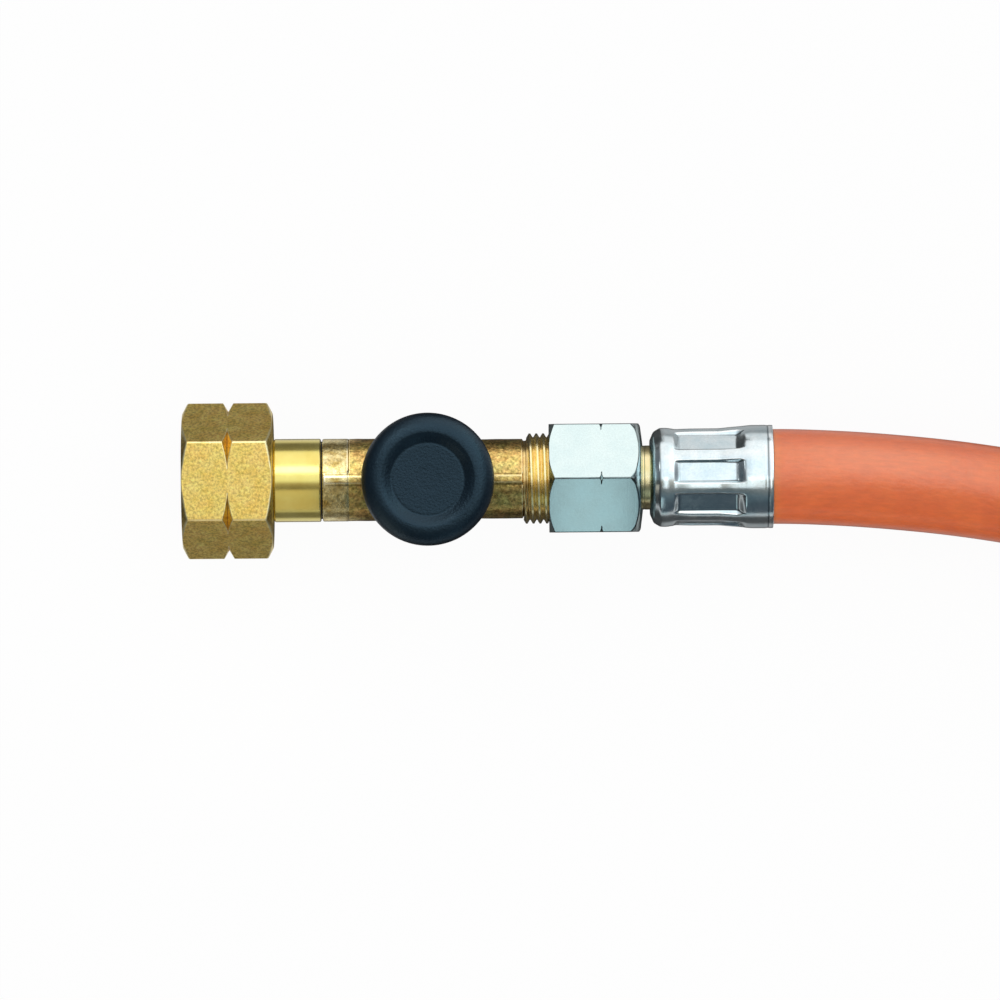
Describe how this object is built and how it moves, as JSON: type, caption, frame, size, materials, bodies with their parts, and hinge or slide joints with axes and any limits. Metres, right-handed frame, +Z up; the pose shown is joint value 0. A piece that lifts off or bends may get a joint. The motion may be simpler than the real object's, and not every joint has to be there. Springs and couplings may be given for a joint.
{
  "type": "gas hose with rupture valve",
  "caption": "High-pressure gas hose: swivelling brass cylinder nut, rupture valve with round push button, union nuts and crimped ferrules on an orange rubber hose.",
  "frame": {"origin": "centre of the cylinder nut's open face, on the axis of the fittings", "axes": "+X along the fittings from the cylinder nut towards the hose, +Y to the left of the fittings, away from the hose's turn, +Z up through the push button"},
  "size_m": [0.2841, 0.2312, 0.041],
  "materials": {
    "forged_brass": "shot-blasted forging, slightly rough",
    "polished_brass": "bright turned",
    "turned_brass": "fine turned",
    "zinc_steel": "satin zinc plate",
    "ferrule_steel": "bright plate with crimp marks",
    "spring_steel": "plain",
    "cap_rubber": "matte moulded",
    "seal_rubber": "matte",
    "hose_rubber": "matte, faintly grained"
  },
  "bodies": {
    "valve": {"valve_body": "forged_brass", "cylinder_nipple": "turned_brass", "cylinder_seal": "seal_rubber", "neck_sleeve": "polished_brass", "neck_gasket": "seal_rubber", "piston_retainer": "spring_steel", "piston_spring": "spring_steel", "valve_seat": "turned_brass", "button_bush": "turned_brass", "bush_gasket": "seal_rubber", "stem_seal": "seal_rubber", "button_spring": "spring_steel"},
    "cylinder_nut": {"cylinder_nut": "forged_brass"},
    "piston": {"valve_piston": "turned_brass", "piston_seal": "seal_rubber"},
    "button": {"button_stem": "spring_steel", "stem_clip": "spring_steel", "button_plate": "zinc_steel", "button_cap": "cap_rubber"},
    "hose_end": {"hose_nipple": "turned_brass", "nipple_o_ring": "seal_rubber", "ferrule": "ferrule_steel", "hose_tail": "hose_rubber", "hose": "hose_rubber", "regulator_hose_tail": "hose_rubber", "regulator_ferrule": "ferrule_steel", "regulator_nipple": "turned_brass", "regulator_o_ring": "seal_rubber"},
    "union_nut": {"union_nut": "zinc_steel"},
    "regulator_nut": {"regulator_nut": "zinc_steel"}
  },
  "joints": [
    {"name": "cylinder_nut_turn", "type": "hinge", "parent": "valve", "child": "cylinder_nut", "pos_m": [0, 0, 0], "axis": [1, 0, 0], "continuous": true},
    {"name": "button_press", "type": "slide", "parent": "valve", "child": "button", "axis": [0, 0, -1], "range_m": [0, 0.004], "stiffness_N_per_m": 1500, "springref_m": -0.004, "deforming": ["button_spring"]},
    {"name": "piston_close", "type": "slide", "parent": "valve", "child": "piston", "axis": [1, 0, 0], "range_m": [0, 0.0025], "stiffness_N_per_m": 200, "springref_m": -0.002, "deforming": ["piston_spring"]},
    {"name": "hose_unscrew", "type": "slide", "parent": "valve", "child": "hose_end", "axis": [1, 0, 0], "range_m": [0, 0.0105]},
    {"name": "union_nut_turn", "type": "hinge", "parent": "hose_end", "child": "union_nut", "pos_m": [0.0811, 0, 0], "axis": [1, 0, 0], "range_deg": [0, 2520]},
    {"name": "regulator_nut_turn", "type": "hinge", "parent": "hose_end", "child": "regulator_nut", "pos_m": [0.0811, -0.2, -0.003], "axis": [1, 0, 0], "continuous": true}
  ],
  "couplings": [
    {"joint": "union_nut_turn", "follows": "hose_unscrew", "rad_per_m": 4188.8}
  ]
}
